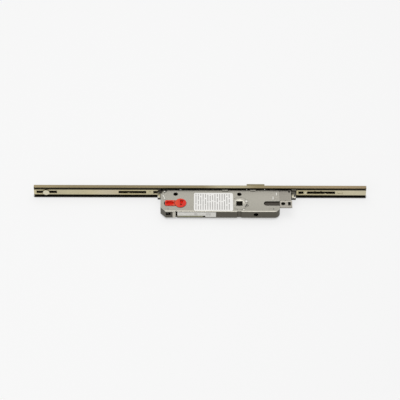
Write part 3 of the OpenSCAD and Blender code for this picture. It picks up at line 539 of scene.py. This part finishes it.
# Labels
LABEL_THICK = 0.12 * MM
INK_THICK = 0.03 * MM
LABEL_RADIUS = 3 * MM
EDGE_RADIUS = 1 * MM
FOOT_RADIUS = 0.4 * MM
EDGE_FOOT_Z = -5.3 * MM
EDGE_DOT_X = -55 * MM
EDGE_DOT_CLEAR = 1.9 * MM

# Bars on the labels. On the face label, ranges of lengths and gaps in mm.
# On the edge label, starts from its lower end and lengths, rows and a height, all in mm.
LABEL_BAR_SEED = 7
LABEL_BAR_STEP = 3.7 * MM
LABEL_BAR_WIDTH = 1.5 * MM
LABEL_BAR_MARGIN = 2.5 * MM
LABEL_BAR_LENGTHS = (8, 20)
LABEL_BAR_GAPS = (1, 3)
EDGE_BARS = ((44, 8), (26, 5))
EDGE_BAR_ROWS = (-1.2, 1.4)
EDGE_BAR_HEIGHT = 1.2


def face_label(work):
    """The large label on the case's face."""
    plate(work, rounded_corners(FACE_LABEL_LOW.xy, FACE_LABEL_HIGH.xy, LABEL_RADIUS), on_face, LABEL_THICK)


def edge_label(work):
    """The label on the back edge, with its lower part on one side of the small hole."""
    low, high = (EDGE_LABEL_LOW.x, EDGE_LABEL_LOW.z), (EDGE_LABEL_HIGH.x, EDGE_LABEL_HIGH.z)
    plate(work, rounded_corners(low, high, EDGE_RADIUS), on_back_edge, LABEL_THICK)
    low, high = (EDGE_DOT_X + EDGE_DOT_CLEAR, EDGE_FOOT_Z), (EDGE_LABEL_HIGH.x, EDGE_LABEL_LOW.z)
    plate(work, rounded_corners(low, high, FOOT_RADIUS), on_back_edge, LABEL_THICK)


def edge_label_foot(work):
    """The label's darker olive lower strip, on the other side of the small hole."""
    low, high = (EDGE_LABEL_LOW.x, EDGE_FOOT_Z), (EDGE_DOT_X - EDGE_DOT_CLEAR, EDGE_LABEL_LOW.z)
    plate(work, rounded_corners(low, high, FOOT_RADIUS), on_back_edge, LABEL_THICK)


def face_label_bars(work):
    """Plain grey bars of uneven length, in columns across the label."""
    draw = random.Random(LABEL_BAR_SEED)
    x = FACE_LABEL_LOW.x + LABEL_BAR_MARGIN
    while x + LABEL_BAR_WIDTH < FACE_LABEL_HIGH.x - LABEL_BAR_MARGIN:
        y = FACE_LABEL_LOW.y + LABEL_BAR_MARGIN
        while y < FACE_LABEL_HIGH.y - LABEL_BAR_MARGIN:
            length = draw.uniform(*LABEL_BAR_LENGTHS) * MM
            top = min(y + length, FACE_LABEL_HIGH.y - LABEL_BAR_MARGIN)
            plate(work, rectangle(x, y, x + LABEL_BAR_WIDTH, top), lifted(on_face, LABEL_THICK), INK_THICK)
            y = top + draw.uniform(*LABEL_BAR_GAPS) * MM
        x += LABEL_BAR_STEP


def edge_label_bars(work):
    """A few plain grey bars near one end of the edge label."""
    for start, length in EDGE_BARS:
        x = EDGE_LABEL_LOW.x + start * MM
        for z in EDGE_BAR_ROWS:
            outline = rectangle(x, z * MM, x + length * MM, (z + EDGE_BAR_HEIGHT) * MM)
            plate(work, outline, lifted(on_back_edge, LABEL_THICK), INK_THICK)


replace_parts(mesh_piece("face_label_film", face_label, label_film, "case"), "face_label")
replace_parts(mesh_piece("edge_label_film", edge_label, edge_film, "case"), "edge_label")
mesh_piece("edge_label_foot", edge_label_foot, edge_olive_film, "case")
mesh_piece("face_label_bars", face_label_bars, label_ink, "case")
mesh_piece("edge_label_bars", edge_label_bars, label_ink, "case")

# Marks on the case's face, in mm from the spindle axis: a dot has a centre, a radius and a rise
PALE_DOTS = ((10.9, 4.2, 1.7, 0.3), (6.5, -13.0, 1.1, 0.0), (-116.8, 24.6, 1.1, 0.0))
PALE_BARS = ((57.1, 16.7, 1.6, 6.2), (51.7, 8.1, 1.6, 6.2))
MARK_RISE = 0.3 * MM
RIB = ((-119.5, 17.5), (-116.2, 8.5))
RIB_HALF = 0.7 * MM
CHEVRON = ((9.2, -6.4), (11.3, -2.4), (13.2, -5.4))
CHEVRON_HALF = 0.85 * MM
CHEVRON_SINK = -0.38 * MM
DARK_DOT = (53.0, -11.5, 1.0)
DISC_SIDES = 20


def disc(x, y, radius):
    """Points round a circle given in mm."""
    ring = [math.tau * i / DISC_SIDES for i in range(DISC_SIDES)]
    return [((x + radius * math.cos(a)) * MM, (y + radius * math.sin(a)) * MM) for a in ring]


def stroke(start, end, half):
    """Corners of a straight stroke between two points given in mm."""
    a, b = Vector(start) * MM, Vector(end) * MM
    across = (b - a).orthogonal().normalized() * half
    return [tuple(p) for p in (a - across, b - across, b + across, a + across)]


def highlight_marks(work):
    """Painted highlights on the raised dots, bars and rib."""
    for x, y, radius, rise in PALE_DOTS:
        plate(work, disc(x, y, radius), lifted(on_face, rise * MM), INK_THICK)
    plate(work, stroke(*RIB, RIB_HALF), lifted(on_face, MARK_RISE), INK_THICK)
    for x, y, width, length in PALE_BARS:
        outline = rectangle(x * MM, y * MM, (x + width) * MM, (y + length) * MM)
        plate(work, outline, lifted(on_face, MARK_RISE), INK_THICK)


def dark_marks(work):
    """Painted shade in the stamped chevron, and a small dark dot by the back corner."""
    for start, end in zip(CHEVRON, CHEVRON[1:]):
        plate(work, stroke(start, end, CHEVRON_HALF), lifted(on_face, CHEVRON_SINK), INK_THICK)
    plate(work, disc(*DARK_DOT), on_face, INK_THICK)


mesh_piece("highlight_marks", highlight_marks, painted_highlight, "case")
mesh_piece("dark_marks", dark_marks, shade_and_dark_paint, "case")

# The latch spring, a coil of round wire round the latch's stem
COIL_X, COIL_Z = 25.7 * MM, 1.7 * MM
COIL_FROM, COIL_TO = -3.6 * MM, 15.6 * MM
COIL_RADIUS = 2.8 * MM
COIL_WIRE = 0.35 * MM
COIL_TURNS = 7
COIL_RINGS = 24
COIL_SIDES = 8


def latch_coil(work):
    """A round wire wound round the latch's stem."""
    rings = []
    count = COIL_TURNS * COIL_RINGS
    for i in range(count + 1):
        turn = math.tau * i / COIL_RINGS
        middle = COIL_FROM + (COIL_TO - COIL_FROM) * i / count
        ring = []
        for k in range(COIL_SIDES):
            around = math.tau * k / COIL_SIDES
            radius = COIL_RADIUS + COIL_WIRE * math.cos(around)
            place = (COIL_X + radius * math.cos(turn), middle + COIL_WIRE * math.sin(around),
                     COIL_Z + radius * math.sin(turn))
            ring.append(work.verts.new(place))
        rings.append(ring)
    for low, high in zip(rings, rings[1:]):
        for k in range(COIL_SIDES):
            j = (k + 1) % COIL_SIDES
            work.faces.new((low[k], low[j], high[j], high[k]))
    work.faces.new(rings[0])
    work.faces.new(rings[-1])


coil = mesh_piece("latch_coil", latch_coil, inner_steel, "case")
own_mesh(coil)
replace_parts(coil, "latch_spring")


def seen_directly(tree):
    """1 for the camera, reflections and glass, and 0 for light."""
    path = tree.nodes.new("ShaderNodeLightPath")
    seen = compute(tree, "MAXIMUM", path.outputs["Is Camera Ray"], path.outputs["Is Glossy Ray"])
    return compute(tree, "MAXIMUM", seen, path.outputs["Is Transmission Ray"])


def mixed_surface(tree, factor, low, high, output):
    """A mix of two shaders, shown as the surface."""
    mix = tree.nodes.new("ShaderNodeMixShader")
    for socket, source in zip(mix.inputs, (factor, low.outputs[0], high.outputs[0])):
        tree.links.new(source, socket)
    tree.links.new(mix.outputs[0], tree.nodes[output].inputs["Surface"])


def floor():
    """A wide pale floor under the lock, with a faint shadow and a painted contact shadow close round the
    lock.
    """
    bpy.ops.mesh.primitive_plane_add(size=FLOOR_SIZE, location=(0, 0, FLOOR_Z))
    plane = bpy.context.object
    plane.name = "floor"
    material, tree, main = shader("floor_white")
    main.inputs["Base Color"].default_value = (*FLOOR_WHITE, 1)
    main.inputs["Roughness"].default_value = FLOOR_ROUGHNESS
    main.inputs["Specular IOR Level"].default_value = FLOOR_GLOSS
    seen = node(tree, "ShaderNodeEmission", Strength=1.0)
    # Painted contact shadow where the floor lies close under the lock
    glow = blend_colour(tree, gap_shade(tree, CONTACT_REACH), CONTACT_SHADOW_GREY, SURROUND)
    tree.links.new(glow, seen.inputs["Color"])
    share = compute(tree, "MULTIPLY", seen_directly(tree), FLOOR_GLOW)
    mixed_surface(tree, share, main, seen, "Material Output")
    plane.data.materials.append(material)


def studio_world():
    """Even white light; the camera and reflections see a plain white surround."""
    world = bpy.data.worlds.new("studio")
    bpy.context.scene.world = world
    world.use_nodes = True
    tree = world.node_tree
    light = tree.nodes["Background"]
    light.inputs["Strength"].default_value = WORLD_STRENGTH
    light.inputs["Color"].default_value = (1, 1, 1, 1)
    seen = node(tree, "ShaderNodeBackground", Color=(*SURROUND, 1), Strength=1.0)
    mixed_surface(tree, seen_directly(tree), light, seen, "World Output")


def area_lamp(name, place, size, power):
    """A soft square lamp aimed at the lock."""
    data = bpy.data.lights.new(name, "AREA")
    data.size = size
    data.energy = power
    lamp = new_object(name, data)
    lamp.location = place
    lamp.rotation_euler = (Vector(LAMP_AIM) - Vector(place)).to_track_quat("-Z", "Y").to_euler()


def camera():
    """The photograph's camera: level along the rail, looking down on the case face."""
    data = bpy.data.cameras.new("camera")
    data.lens = LENS
    data.sensor_width = SENSOR
    data.dof.use_dof = False
    distance = VIEW_WIDTH * LENS / SENSOR
    eye = new_object("camera", data)
    eye.location = VIEW_CENTRE + distance * Vector((0, -math.cos(VIEW_ELEVATION), math.sin(VIEW_ELEVATION)))
    tilt = Matrix.Rotation(math.pi / 2 - VIEW_ELEVATION, 4, "X")
    eye.rotation_euler = (tilt @ Matrix.Rotation(VIEW_ROLL, 4, "Z")).to_euler()
    bpy.context.scene.camera = eye


camera()
floor()
studio_world()
for lamp_values in LAMPS:
    area_lamp(*lamp_values)
bpy.context.scene.view_settings.view_transform = "Standard"
